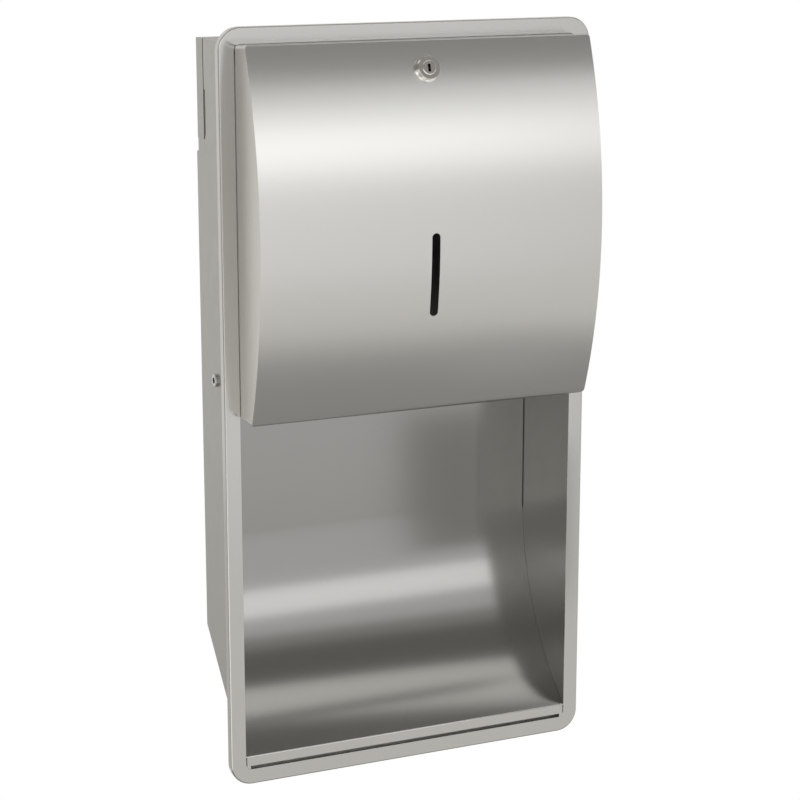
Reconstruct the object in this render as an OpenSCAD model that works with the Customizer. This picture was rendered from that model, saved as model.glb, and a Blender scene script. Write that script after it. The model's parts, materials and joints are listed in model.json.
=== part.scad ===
// Recessed paper towel dispenser: a sheet-metal casing for a wall niche, with a
// front frame, a curved collecting niche below and a lockable hood above that
// tips forward for filling.
// X runs along the wall, Y into the wall and Z up. The origin is the middle of
// the frame, on the plane where the frame's rim meets the wall.

/* [Front frame] */
// Overall width of the front frame
frame_w = 350; // [335:1:400]
// Overall height of the front frame
frame_h = 675; // [655:1:720]
// Width of the flat border round the opening
frame_border = 14; // [12:0.5:16]
// Outer corner radius of the frame
frame_corner = 20; // [19:0.5:24]
// Distance from the wall's face to the front of the frame
frame_depth = 8; // [7:0.5:10]
// Sheet thickness of the frame
frame_sheet = 1.2; // [0.8:0.1:1.5]
// Outside radius of the fold round the frame's edge
frame_fold = 1.6; // [1.6:0.1:3]

/* [Casing] */
// Depth of the casing behind the wall's face
casing_depth = 89; // [89:1:110]
// Sheet thickness of the casing
casing_sheet = 1.2; // [0.8:0.1:1.5]
// Drop of the casing's top below the edge of the frame's opening
casing_top_drop = 0.5; // [0.5:0.1:1.5]
// Height of the gutter between the casing's slope and its floor
gutter_h = 13; // [11:0.5:14]
// Height that the casing's slope gains up to the upright back
slope_rise = 95.5; // [85:0.5:100]
// Length of the back's fold along the slope
slope_flap = 48; // [30:1:55]

/* [Hanger channel] */
// Height of the channel at the casing's upper back
channel_h = 87; // [80:1:95]
// Distance from the channel's back to the back of the casing
channel_setback = 3; // [2:0.5:4]
// Depth of the channel's flanges
channel_flange = 16.5; // [14:0.5:18]
// Height of the overlap where the casing's back meets the channel
channel_lap = 15; // [12:1:20]
// Height of the open joggle below the channel
channel_joggle = 12; // [10:1:16]
// Distance between the two wall screw slots
wall_screw_spacing = 200; // [160:5:220]
// Width of a wall screw slot or hole
wall_screw_hole = 7; // [5.5:0.5:8]
// Length of a wall screw slot
wall_screw_slot = 16; // [12:1:20]
// Height of the wall screw slots above the channel's lower edge
upper_screw_rise = 50; // [40:1:60]
// Height of the lower wall screw holes above the towel tray
lower_screw_rise = 55; // [45:1:70]

/* [Collecting niche] */
// Height over which the niche sheet curves forward to its lip
curve_rise = 181; // [175:1:185]
// Distance from the wall's face to the upright niche sheet
chute_depth = 83; // [81:0.5:84]
// Sheet thickness of the niche sheet
chute_sheet = 1; // [0.8:0.1:1.2]
// Height of the lip at the front of the niche
lip_h = 8.3; // [7:0.1:9]
// Width of the legs under the ends of the lip
lip_leg = 3.5; // [2.5:0.1:5]
// Relief between the upright niche sheet and each side wall
chute_relief = 0.6; // [0.5:0.1:3]
// Length of that relief below the start of the curve
chute_relief_drop = 9; // [5:0.5:12]

/* [Hood] */
// Height of the hood at its rear
hood_h = 322; // [315:1:326]
// Reach of the hood in front of the frame
hood_reach = 56; // [52:1:60]
// Radius of the hood's bulging front
bulge_radius = 464; // [455:1:490]
// Distance from the hood's top to the height of its fullest bulge
bulge_drop = 163.5; // [157:0.5:168]
// Sheet thickness of the hood
hood_sheet = 1.2; // [0.8:0.1:1.5]
// Gap between each side of the hood and the frame's opening
hood_side_gap = 0.4; // [0.4:0.1:1.5]
// Gap between the hood's top and the frame's opening
hood_top_gap = 1; // [0.8:0.1:1.5]
// Rise of the hood's top from its rear to its upper fold
hood_rise = 2; // [0:0.1:3]
// Outside radius of the hood's upper fold
top_fold = 1.8; // [1.8:0.1:4]
// Outside radius of the hood's lower fold
hem_fold = 8; // [6:0.5:9]
// Width of the level slot
level_slot_w = 7; // [5:0.5:8]
// Length of the level slot
level_slot_h = 73; // [60:1:80]
// Distance from the hood's top to the middle of the level slot
level_slot_drop = 196.5; // [185:0.5:205]

/* [Hinge] */
// Distance from the wall's face back to the hinge axis
pivot_back = 48; // [46:0.5:50]
// Height of the hinge axis above the hood's lower edge
pivot_rise = 24.5; // [23:0.5:27]
// Angle through which the hood tips open
open_angle = 70; // [60:1:75]
// Diameter of the hinge screws' shanks
pivot_d = 6; // [5:0.5:7]
// Diameter of the hinge screws' heads
pivot_head_d = 11.5; // [10:0.5:13]
// Height of the hinge screws' heads
pivot_head_h = 3; // [2.5:0.1:3.5]
// Thickness of the hinge arms
arm_sheet = 2; // [1.5:0.1:2.2]
// Radius of the hinge arms' rear ends
arm_end = 12; // [11:0.5:13]

/* [Towel tray] */
// Height of the tray above the hood's lower edge
tray_lift = 4.5; // [4:0.5:6]
// Sheet thickness of the tray
tray_sheet = 1.2; // [0.8:0.1:1.5]
// Height of the tray's upturned edges
tray_edge = 12; // [10:0.5:13]
// Distance from the tray's side to the end of the opening that towels are pulled through
dispense_inset = 45; // [35:1:55]
// Depth of the opening that towels are pulled through
dispense_d = 54; // [48:1:58]
// Distance from each side wall to its towel guide
guide_inset = 34; // [33:0.5:38]
// Height of the towel guides
guide_h = 212; // [180:1:214]
// Sheet thickness of the towel guides
guide_sheet = 1; // [0.8:0.1:1.2]

/* [Lock] */
// Distance from the hood's top to the middle of the lock
lock_drop = 22.5; // [21:0.5:24]
// Diameter of the lock's threaded barrel
barrel_d = 18; // [17:0.5:19]
// Diameter of the lock's base collar
collar_d = 24; // [23:0.5:26]
// Diameter of the lock's front disc
lock_face_d = 20; // [18:0.5:22]
// Height that the lock stands out of the hood
lock_proud = 5; // [4:0.5:7]
// Length of the barrel behind the hood's face
barrel_len = 20; // [19:0.5:20.5]
// Diameter of the turning plug
plug_d = 12.5; // [11:0.5:13]
// Width of the keyway
keyway_w = 2.6; // [1.5:0.1:3]
// Height of the keyway
keyway_h = 7; // [5:0.5:8]
// Length of the cam from the lock's axis
cam_reach = 19; // [17.5:0.5:19.5]
// Width of the cam
cam_w = 12; // [11:0.5:13]

/* [Hidden] */
$fn = 96;

steel = [0.72, 0.71, 0.69];
galvanised = [0.62, 0.63, 0.64];
bright = [0.80, 0.80, 0.80];
rubber = [0.12, 0.12, 0.12];
nylon = [0.90, 0.89, 0.85];

// Clearances and small sizes that several pieces share
overrun = 5;
rest_gap = 0.3;
turn_gap = 0.05;
hole_gap = 0.1;
hex_sides = 6;
rivet_r = 2;
rivet_head_r = 3.75;
rivet_head_h = 1.2;

// Frame and casing places
open_w = frame_w - 2 * frame_border;
open_h = frame_h - 2 * frame_border;
open_top = open_h / 2;
open_low = -open_h / 2;
frame_front = -frame_depth;
frame_back = frame_front + frame_sheet;
wall_in = open_w / 2;
wall_out = wall_in + casing_sheet;
casing_top_z = open_top - casing_top_drop;
casing_ceiling_z = casing_top_z - casing_sheet;
gutter_floor_z = open_low - casing_sheet;
slope_low_z = open_low + gutter_h;
slope_high_z = slope_low_z + slope_rise;
slope_run = [casing_depth, slope_rise];
slope_end = [casing_depth, slope_high_z] - slope_flap * unit(slope_run);
back_in = casing_depth - casing_sheet;

// Hanger channel places, with the seam and the relief in front of its flanges
channel_back = casing_depth - channel_setback;
channel_in = channel_back - casing_sheet;
channel_front = channel_back - channel_flange;
channel_low_z = casing_top_z - channel_h;
joggle_z = channel_low_z - channel_joggle;
seam_gap = 1.8;
seam_y = channel_front - seam_gap;
relief_w = 5;
relief_y = channel_front - relief_w;
relief_drop = 43.5;
relief_taper = 6;

// Hood places
hood_half = wall_in - hood_side_gap;
hood_top = open_top - hood_top_gap;
hood_low = hood_top - hood_h;
hood_front = frame_front - hood_reach;
bulge_y = hood_front + bulge_radius;
bulge_z = hood_top - bulge_drop;
hood_stand = 0.5;
hood_rear = frame_front - hood_stand;
hem_reach = 18;
hem_end = frame_front - hem_reach;
return_h = 16;
return_notch = 52;
cheek_in = hood_half - hood_sheet;
cheek_lift = 3.5;
cheek_low = hood_low + cheek_lift;
cheek_tail = 12;
cheek_rear = frame_front + cheek_tail;
cheek_shoulder = 7;
level_slot_z = hood_top - level_slot_drop;
level_cut = 39;

// Centres and tangent angles of the hood's two folds, and the tilt of its top
fold_top = fold_centre(hood_top + hood_rise - top_fold, top_fold);
fold_low = fold_centre(hood_low + hem_fold, hem_fold);
fold_top_angle = 180 - asin((fold_top[1] - bulge_z) / (bulge_radius - top_fold));
fold_low_angle = 180 + asin((bulge_z - fold_low[1]) / (bulge_radius - hem_fold));
top_run = [hood_rear, hood_top] - fold_top;
top_angle = atan2(top_run[1], top_run[0]) + acos(top_fold / norm(top_run));
corner_share = 2.9;
hood_corner = corner_share * hood_sheet;

// Hinge places
pivot_z = hood_low + pivot_rise;
pivot_r = pivot_d / 2;
arm_out = cheek_in;
arm_in = arm_out - arm_sheet;
arm_flare = 14;
arm_reach = 24;
bush_wall = 1.5;
bush_r = pivot_r + bush_wall;
bush_rim = 2;
washer_h = 1.2;
washer_rim = 3;
nut_h = 4;
nut_rim = 2.8;
hex_key = 3;
hex_deep = 2;
bolt_end = 0.5;
washer_x = arm_in - rest_gap;
nut_x = washer_x - washer_h;
stud_r = 3;
stud_reach = 22;

// Tray and guide places
tray_z = hood_low + tray_lift;
tray_floor_z = tray_z + tray_sheet;
tray_top_z = tray_z + tray_edge;
tray_side_gap = 1.8;
tray_half = arm_in - tray_side_gap;
tray_reach = 20;
tray_front = frame_front - tray_reach;
dispense_front = 12;
dispense_corner = 12;
thumb_share = 0.7;
guide_front = 14;
guide_flange = 20;
guide_x = wall_in - guide_inset;
guide_rise = 1;
guide_flange_z = tray_top_z + guide_rise;
guide_top_z = tray_floor_z + guide_h;
rivet_step_share = 0.4;
bracket_sheet = 1.5;
bracket_h = 16;
bracket_leg = 21;
bracket_len = 18;
bracket_gap = 1;
bracket_back = chute_depth - bracket_gap;
bracket_front = bracket_back - bracket_len;
screw_r = 2;
screw_head_r = 4;
screw_head_h = 2.4;
screw_len = 7;
screw_inset = 14;
screw_edge = 4.5;

// Niche places: the curve is upright at its top and ends at the lip
lip_z = slope_low_z - chute_sheet / 2;
curve_z = lip_z + curve_rise;
curve_run = chute_depth - frame_front;
curve_r = (curve_run * curve_run + curve_rise * curve_rise) / (2 * curve_run);
chute_top_z = tray_z - rest_gap;
chute_half = wall_in - rest_gap;
lip_gap = 1.5;
relief_low_z = curve_z - chute_relief_drop;
lip_half = wall_in - lip_gap;
lip_corner = 4.5;

// Lock places, measured along and across the axis of its tilted barrel
lock_z = hood_top - lock_drop;
lock_y = bulge_y - sqrt(pow(bulge_radius, 2) - pow(lock_z - bulge_z, 2));
lock_tilt = asin((lock_z - bulge_z) / bulge_radius);
lock_in = [cos(lock_tilt), -sin(lock_tilt)];
lock_up = [sin(lock_tilt), cos(lock_tilt)];
barrel_r = barrel_d / 2;
plug_r = plug_d / 2;
collar_h = 2.5;
face_chamfer = 0.5;
lock_washer_h = 1;
lock_washer_rim = 4;
lock_nut_h = 4;
lock_nut_rim = 4;
plug_recess = 0.4;
plug_tail = 1.7;
tail_w = 7.5;
tail_len = 2.3;
key_deep = 16;
key_ring_r = 4.4;
key_ring_deep = 0.5;
cam_sheet = 2;
cam_hub_r = 8;
cam_screw_r = 1.9;
cam_screw_head_r = 5;
cam_screw_head_h = 2.2;
cam_screw_len = 6;
cam_screw_spare = 2;
cam_shoulder = barrel_len + plug_tail;

// Keeper and buffer places
keeper_w = 36;
keeper_sheet = 1.5;
keeper_flange = 28;
keeper_bend_y = 4;
keeper_drop = 5.7;
keeper_slope = 5;
keeper_clear = 2.5;
keeper_z = casing_ceiling_z - keeper_drop;
keeper_face = barrel_len - keeper_sheet;
keeper_axis = [lock_y, lock_z] + keeper_face * lock_in;
keeper_bottom = keeper_axis + (barrel_r + keeper_clear) * lock_up;
keeper_corner = keeper_axis + (keeper_z - keeper_axis[1]) / lock_up[1] * lock_up;
keeper_rivet_x = 12;
keeper_rivet_y = 20;
buffer_inset = 41;
buffer_x = wall_in - buffer_inset;
buffer_r = 5;
buffer_drop = 8.5;
buffer_z = hood_top - buffer_drop;
buffer_bracket_w = 20;
buffer_bracket_h = 17;
buffer_bracket_gap = 2;
buffer_bracket_y = frame_back + buffer_bracket_gap;
buffer_bracket_flange = 18;

function unit(v) = v / norm(v);
function left_of(a, b) = let (d = unit(b - a)) [-d[1], d[0]];
function turned(a, b, c, t) =
  let (n = left_of(a, b), m = left_of(b, c)) b + t * (n + m) / (1 + n * m);
function beside(p, t) = [
  for (i = [0:len(p) - 1])
    i == 0 ? p[0] + t * left_of(p[0], p[1])
    : i == len(p) - 1 ? p[i] + t * left_of(p[i - 1], p[i])
    : turned(p[i - 1], p[i], p[i + 1], t)
];
function backwards(p) = [for (i = [len(p) - 1:-1:0]) p[i]];
function fold_centre(z, r) =
  [bulge_y - sqrt(pow(bulge_radius - r, 2) - pow(z - bulge_z, 2)), z];
function toward(angle) = [cos(angle), sin(angle)];

// The side view of a folded sheet: its fold points and its thickness to their left
module folded(points, thickness) {
  polygon(concat(points, backwards(beside(points, thickness))));
}

// Runs a side view, drawn in Y and Z, from one place along X to another
module along_x(low, high) {
  translate([low, 0, 0]) rotate([90, 0, 90]) linear_extrude(high - low) children();
}

// Runs a front view, drawn in X and Z, from one place along Y to another
module along_y(low, high) {
  translate([0, high, 0]) rotate([90, 0, 0]) linear_extrude(high - low) children();
}

module block(low, high) {
  translate(low) cube(high - low);
}

// A round bar or hole along X, from one place to another
module bar_x(low, high, y, z, r) {
  translate([low, y, z]) rotate([0, 90, 0]) cylinder(h = high - low, r = r);
}

// A round bar or hole along Y, from one place to another
module bar_y(low, high, x, z, r) {
  translate([x, high, z]) rotate([90, 0, 0]) cylinder(h = high - low, r = r);
}

module left_and_right() {
  children();
  mirror([1, 0, 0]) children();
}

// Sweeps a section round a rectangle with round corners, drawn flat
module swept(w, h, r) {
  for (i = [0:3]) {
    across = i % 2 == 0 ? w : h;
    along = i % 2 == 0 ? h : w;
    rotate([0, 0, 90 * i]) translate([across / 2 - r, along / 2 - r, 0]) {
      rotate_extrude(angle = 90) children();
      rotate([90, 0, 0]) linear_extrude(along - 2 * r) children();
    }
  }
}

// The frame's sheet from the opening's edge, round the fold, to the rim on the wall
module frame_section() {
  fold = [frame_corner - frame_fold, frame_depth - frame_fold];
  translate([frame_corner - frame_border, frame_depth - frame_sheet])
    square([frame_border - frame_fold, frame_sheet]);
  translate([frame_corner - frame_sheet, 0]) square([frame_sheet, fold[1]]);
  translate(fold) intersection() {
    difference() {
      circle(frame_fold);
      circle(frame_fold - frame_sheet);
    }
    square(frame_fold);
  }
}

module front_frame() {
  color(steel) rotate([90, 0, 0]) swept(frame_w, frame_h, frame_corner) frame_section();
}

// One side wall: notched for the channel above, cut to the slope below
module casing_right() {
  outline = [
    [frame_back, casing_top_z], [seam_y, casing_top_z],
    [seam_y, casing_top_z - relief_drop], [relief_y, casing_top_z - relief_drop],
    [relief_y, channel_low_z + relief_taper], [seam_y, channel_low_z],
    [channel_in, channel_low_z], [channel_in, joggle_z], [casing_depth, joggle_z],
    [casing_depth, slope_high_z], [0, slope_low_z], [0, gutter_floor_z],
    [frame_back, gutter_floor_z]
  ];
  color(steel) difference() {
    along_x(wall_in, wall_out) polygon(outline);
    bar_x(wall_in - overrun, wall_out + overrun, pivot_back, pivot_z, pivot_r + hole_gap);
  }
}

module casing_left() {
  mirror([1, 0, 0]) casing_right();
}

module casing_top() {
  color(steel) difference() {
    block([-wall_in, frame_back, casing_ceiling_z], [wall_in, seam_y, casing_top_z]);
    left_and_right()
      translate([keeper_rivet_x, keeper_rivet_y, casing_ceiling_z - overrun])
        cylinder(h = casing_sheet + 2 * overrun, r = rivet_r + turn_gap);
  }
}

// The upright back, set forward behind the channel and folded under along the slope
module casing_back() {
  points = [
    slope_end, [casing_depth, slope_high_z], [casing_depth, joggle_z],
    [channel_in, joggle_z], [channel_in, channel_low_z + channel_lap]
  ];
  color(steel) difference() {
    along_x(-wall_in, wall_in) folded(points, casing_sheet);
    left_and_right() {
      bar_y(back_in - overrun, casing_depth + overrun, wall_screw_spacing / 2,
        tray_z + lower_screw_rise, wall_screw_hole / 2);
      guide_rivet_places() bar_y(back_in - overrun, casing_depth + overrun, 0, 0,
        rivet_r + turn_gap);
    }
  }
}

// The angle that closes the casing under the niche's lip
module gutter_strip() {
  points = [[frame_back, gutter_floor_z], [0, gutter_floor_z], [0, slope_low_z]];
  color(steel) along_x(-wall_in, wall_in) folded(points, casing_sheet);
}

// The shallow channel that closes the upper back and hangs on the wall screws
module hanger_channel() {
  straight = wall_screw_slot - wall_screw_hole;
  color(steel) difference() {
    block([-wall_out, channel_front, channel_low_z],
      [wall_out, channel_back, casing_top_z]);
    block([-wall_in, channel_front - overrun, channel_low_z - overrun],
      [wall_in, channel_in, casing_ceiling_z]);
    left_and_right()
      along_y(channel_in - overrun, channel_back + overrun)
        translate([wall_screw_spacing / 2, channel_low_z + upper_screw_rise]) {
          square([straight, wall_screw_hole], center = true);
          for (end = [-1, 1]) translate([end * straight / 2, 0]) circle(wall_screw_hole / 2);
        }
  }
}

// The curved part of the niche sheet, cut off flush with the frame's front
module chute_curve() {
  centre = [chute_depth - curve_r, curve_z];
  intersection() {
    translate(centre) difference() {
      circle(curve_r + chute_sheet, $fn = 360);
      circle(curve_r, $fn = 360);
    }
    translate([frame_front, lip_z - overrun])
      square([curve_run + overrun, curve_z - lip_z + overrun]);
  }
}

// The lip's front view, with a rounded leg under each end
module lip_outline() {
  difference() {
    union() {
      translate([-lip_half, open_low + lip_corner])
        square([2 * lip_half, lip_z - open_low - lip_corner]);
      translate([lip_corner - lip_half, open_low])
        square([2 * (lip_half - lip_corner), lip_corner]);
      for (side = [-1, 1])
        translate([side * (lip_half - lip_corner), open_low + lip_corner])
          circle(lip_corner);
    }
    translate([lip_leg - lip_half, open_low - overrun])
      square([2 * (lip_half - lip_leg), lip_z - lip_h - open_low + overrun]);
  }
}

// The niche's sheet: an upright back, the curve down to the front, and the lip
module chute_panel() {
  upright = [[chute_depth, curve_z], [chute_depth, chute_top_z], [back_in, chute_top_z]];
  color(steel) {
    along_x(chute_relief - wall_in, wall_in - chute_relief) folded(upright, -chute_sheet);
    difference() {
      along_x(-chute_half, chute_half) chute_curve();
      left_and_right()
        block([wall_in - chute_relief, frame_front, relief_low_z],
          [wall_in, casing_depth, curve_z + overrun]);
    }
    along_y(frame_front, frame_front + chute_sheet) lip_outline();
  }
}

// The opening that towels are pulled through, wider in depth at its middle
module dispense_outline() {
  r = dispense_corner;
  w = 2 * (tray_half - dispense_inset);
  d = dispense_d;
  square([w - 2 * r, d], center = true);
  square([w, d - 2 * r], center = true);
  for (x = [-1, 1], y = [-1, 1]) translate([x * (w / 2 - r), y * (d / 2 - r)]) circle(r);
  circle(d * thumb_share);
}

module tray_screw_places() {
  left_and_right()
    for (y = [bracket_front + screw_edge, bracket_back - screw_edge])
      translate([wall_in - screw_inset, y, 0]) children();
}

module dispensing_tray() {
  dispense_y = frame_front + dispense_front + dispense_d / 2;
  color(steel) difference() {
    block([-tray_half, tray_front, tray_z], [tray_half, back_in, tray_top_z]);
    block([tray_sheet - tray_half, tray_front + tray_sheet, tray_floor_z],
      [tray_half - tray_sheet, back_in - tray_sheet, tray_top_z + overrun]);
    translate([0, dispense_y, tray_z - overrun])
      linear_extrude(tray_sheet + 2 * overrun) dispense_outline();
    tray_screw_places()
      translate([0, 0, tray_z - overrun])
        cylinder(h = tray_sheet + 2 * overrun, r = screw_r + hole_gap);
  }
}

module tray_bracket_right() {
  leg_z = tray_z - bracket_sheet;
  points = [[wall_in - bracket_leg, leg_z], [wall_in, leg_z], [wall_in, leg_z + bracket_h]];
  color(galvanised) difference() {
    along_y(bracket_front, bracket_back) folded(points, bracket_sheet);
    tray_screw_places()
      translate([0, 0, leg_z - overrun])
        cylinder(h = bracket_sheet + 2 * overrun, r = screw_r + hole_gap);
  }
}

module tray_bracket_left() {
  mirror([1, 0, 0]) tray_bracket_right();
}

module tray_screws() {
  color(bright) tray_screw_places() {
    translate([0, 0, tray_floor_z]) difference() {
      cylinder(h = screw_head_h, r = screw_head_r);
      translate([0, 0, screw_head_h / 2])
        cylinder(h = screw_head_h, r = screw_head_r / 2, $fn = hex_sides);
    }
    translate([0, 0, tray_floor_z - screw_len]) cylinder(h = screw_len, r = screw_r);
  }
}

module guide_rivet_places() {
  span = guide_top_z - guide_flange_z;
  for (i = [-1:1])
    translate([guide_x + guide_flange / 2, 0,
      guide_flange_z + span / 2 + i * span * rivet_step_share]) children();
}

// One upright guide for the towels' edges, flanged against the casing's back
module towel_guide_right() {
  front = frame_front - guide_front;
  flange_in = back_in - guide_sheet;
  color(galvanised) difference() {
    union() {
      block([guide_x, front, tray_floor_z],
        [guide_x + guide_sheet, back_in - tray_sheet - rest_gap, guide_top_z]);
      block([guide_x, front, guide_flange_z], [guide_x + guide_sheet, back_in, guide_top_z]);
      block([guide_x, flange_in, guide_flange_z],
        [guide_x + guide_flange, back_in, guide_top_z]);
    }
    guide_rivet_places()
      bar_y(flange_in - overrun, back_in + overrun, 0, 0, rivet_r + turn_gap);
  }
}

module towel_guide_left() {
  mirror([1, 0, 0]) towel_guide_right();
}

module guide_rivets() {
  head_y = back_in - guide_sheet;
  color(bright) left_and_right() guide_rivet_places() {
    bar_y(head_y, casing_depth, 0, 0, rivet_r);
    bar_y(head_y - rivet_head_h, head_y, 0, 0, rivet_head_r);
  }
}

// The strap that the turned cam catches behind
module lock_keeper() {
  points = [
    [keeper_bend_y + keeper_flange, casing_ceiling_z], [keeper_bend_y, casing_ceiling_z],
    [keeper_bend_y - keeper_slope, keeper_z], keeper_corner, keeper_bottom
  ];
  color(galvanised) difference() {
    along_x(-keeper_w / 2, keeper_w / 2) folded(points, keeper_sheet);
    left_and_right()
      translate([keeper_rivet_x, keeper_rivet_y, casing_ceiling_z - keeper_sheet - overrun])
        cylinder(h = keeper_sheet + 2 * overrun, r = rivet_r + turn_gap);
  }
}

module keeper_rivets() {
  head_z = casing_ceiling_z - keeper_sheet;
  color(bright) left_and_right() translate([keeper_rivet_x, keeper_rivet_y, 0]) {
    translate([0, 0, head_z]) cylinder(h = casing_top_z - head_z, r = rivet_r);
    translate([0, 0, head_z - rivet_head_h]) cylinder(h = rivet_head_h, r = rivet_head_r);
  }
}

module buffer_brackets() {
  points = [
    [buffer_bracket_y, casing_ceiling_z - buffer_bracket_h],
    [buffer_bracket_y, casing_ceiling_z],
    [buffer_bracket_y + buffer_bracket_flange, casing_ceiling_z]
  ];
  color(galvanised) left_and_right()
    along_x(buffer_x - buffer_bracket_w / 2, buffer_x + buffer_bracket_w / 2)
      folded(points, -casing_sheet);
}

module closing_buffers() {
  color(rubber) left_and_right()
    bar_y(hood_rear + rest_gap, buffer_bracket_y, buffer_x, buffer_z, buffer_r);
}

// The studs inside the walls that the hinge arms meet when the hood is open
module stop_studs() {
  across = open_angle - 90;
  down = open_angle - 180;
  place = [pivot_back, pivot_z] + (arm_end + stud_r + rest_gap) * toward(across)
    + stud_reach * toward(down);
  color(bright) left_and_right()
    bar_x(arm_in + hole_gap, wall_in, place[0], place[1], stud_r);
}

module pivot_bolts() {
  color(bright) left_and_right() {
    bar_x(nut_x - nut_h - bolt_end, wall_out, pivot_back, pivot_z, pivot_r);
    difference() {
      bar_x(wall_out, wall_out + pivot_head_h, pivot_back, pivot_z, pivot_head_d / 2);
      bar_x(wall_out + pivot_head_h - hex_deep, wall_out + pivot_head_h + overrun,
        pivot_back, pivot_z, hex_key, $fn = hex_sides);
    }
  }
}

module pivot_washers() {
  color(bright) left_and_right() difference() {
    bar_x(nut_x, washer_x, pivot_back, pivot_z, pivot_r + washer_rim);
    bar_x(nut_x - overrun, washer_x + overrun, pivot_back, pivot_z, pivot_r + hole_gap);
  }
}

module pivot_nuts() {
  color(bright) left_and_right() difference() {
    bar_x(nut_x - nut_h, nut_x, pivot_back, pivot_z, pivot_r + nut_rim, $fn = hex_sides);
    bar_x(nut_x - nut_h - overrun, nut_x + overrun, pivot_back, pivot_z,
      pivot_r + turn_gap);
  }
}

// What a round fold takes off a square corner, between two directions from its centre
module fold_waste(centre, r, from, to) {
  far = 3 * r;
  difference() {
    translate(centre)
      polygon([[0, 0], far * toward(from), 2 * far * toward((from + to) / 2), far * toward(to)]);
    translate(centre) circle(r);
  }
}

// The hood's side view, drawn in by the sheet's thickness or not at all
module hood_outline(inset) {
  difference() {
    intersection() {
      translate([bulge_y, bulge_z]) circle(bulge_radius - inset, $fn = 720);
      translate([hood_front - overrun, hood_low + inset])
        square([hood_rear - hood_front + overrun, hood_h + hood_rise]);
      translate(fold_top + (top_fold - inset) * toward(top_angle)) rotate(top_angle - 90)
        translate([-hood_h, -2 * hood_h]) square(2 * hood_h);
    }
    fold_waste(fold_top, top_fold - inset, top_angle, fold_top_angle);
    fold_waste(fold_low, hem_fold - inset, 270, fold_low_angle);
  }
}

// What the round corners take off, all along the top and both cheeks
module corner_waste() {
  translate([0, hood_rear, hood_top]) rotate([top_angle - 90, 0, 0]) left_and_right()
    along_y(hood_front - hood_rear - overrun, overrun)
      translate([hood_half - hood_corner, -hood_corner]) difference() {
        square(hood_corner + overrun);
        circle(hood_corner);
      }
}

// Everything behind the hem and below a height, which the hood leaves open
module under_hood(z) {
  translate([hem_end, hood_low - overrun])
    square([cheek_rear - hem_end + overrun, z - hood_low + overrun]);
}

module at_lock() {
  translate([0, lock_y, lock_z]) rotate([90 - lock_tilt, 0, 0]) children();
}

// The hood's front, top and hem, with the slot, the lock's hole and the upper return
module hood_panel() {
  slot_end = (level_slot_h - level_slot_w) / 2;
  color(steel) difference() {
    union() {
      along_x(-cheek_in, cheek_in) difference() {
        hood_outline(0);
        hood_outline(hood_sheet);
        under_hood(cheek_low);
      }
      difference() {
        block([-cheek_in, hood_rear - hood_sheet, hood_top - return_h],
          [cheek_in, hood_rear, hood_top - hood_sheet / 2]);
        block([-return_notch / 2, hood_rear - overrun, hood_top - return_h - overrun],
          [return_notch / 2, hood_rear + overrun, hood_top - hood_sheet]);
      }
    }
    along_y(hood_front - overrun, hood_front + level_cut) {
      translate([0, level_slot_z]) square([level_slot_w, 2 * slot_end], center = true);
      for (end = [-1, 1])
        translate([0, level_slot_z + end * slot_end]) circle(level_slot_w / 2);
    }
    at_lock() cylinder(h = 4 * hood_sheet, r = barrel_r + hole_gap, center = true);
    corner_waste();
  }
}

// One flat cheek, with a tail that runs inside the frame's opening
module hood_cheek_right() {
  color(steel) difference() {
    along_x(cheek_in, hood_half) {
      difference() {
        hood_outline(0);
        under_hood(cheek_low);
      }
      translate([hood_rear, cheek_low])
        square([cheek_rear - hood_rear, hood_top - cheek_shoulder - cheek_low]);
    }
    corner_waste();
  }
}

module hood_cheek_left() {
  mirror([1, 0, 0]) hood_cheek_right();
}

// One arm inside the cheek, running back to the hinge
module hinge_arm_right() {
  front = frame_front - arm_reach;
  root_z = pivot_z + arm_end + arm_flare;
  outline = [
    [pivot_back, pivot_z + arm_end], [cheek_rear, root_z], [front, root_z],
    [front, pivot_z - arm_end], [pivot_back, pivot_z - arm_end]
  ];
  color(steel) difference() {
    along_x(arm_in, arm_out) {
      polygon(outline);
      translate([pivot_back, pivot_z]) circle(arm_end);
    }
    bar_x(arm_in - overrun, arm_out + overrun, pivot_back, pivot_z, bush_r + turn_gap);
  }
}

module hinge_arm_left() {
  mirror([1, 0, 0]) hinge_arm_right();
}

// The plain bearings in the arms, flanged against the walls
module pivot_bushes() {
  color(nylon) left_and_right() difference() {
    union() {
      bar_x(arm_in, arm_out, pivot_back, pivot_z, bush_r);
      bar_x(arm_out, wall_in - rest_gap, pivot_back, pivot_z, bush_r + bush_rim);
    }
    bar_x(arm_in - overrun, wall_in + overrun, pivot_back, pivot_z, pivot_r + turn_gap);
  }
}

// The lock's collar, face and barrel, bored for the plug
module lock_body() {
  face_r = lock_face_d / 2;
  bore_r = plug_r + turn_gap;
  color(bright) at_lock() rotate_extrude() polygon([
    [bore_r, -barrel_len], [barrel_r, -barrel_len], [barrel_r, 0], [collar_d / 2, 0],
    [collar_d / 2, collar_h - face_chamfer], [collar_d / 2 - face_chamfer, collar_h],
    [face_r, collar_h], [face_r, lock_proud - face_chamfer],
    [face_r - face_chamfer, lock_proud], [bore_r, lock_proud]
  ]);
}

module lock_washer() {
  color(bright) at_lock() translate([0, 0, -hood_sheet - rest_gap - lock_washer_h])
    difference() {
      cylinder(h = lock_washer_h, r = barrel_r + lock_washer_rim);
      translate([0, 0, -overrun])
        cylinder(h = lock_washer_h + 2 * overrun, r = barrel_r + hole_gap);
    }
}

module lock_nut() {
  color(bright) at_lock()
    translate([0, 0, -hood_sheet - rest_gap - lock_washer_h - lock_nut_h])
      difference() {
        cylinder(h = lock_nut_h, r = barrel_r + lock_nut_rim, $fn = hex_sides);
        translate([0, 0, -overrun])
          cylinder(h = lock_nut_h + 2 * overrun, r = barrel_r + turn_gap);
      }
}

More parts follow.
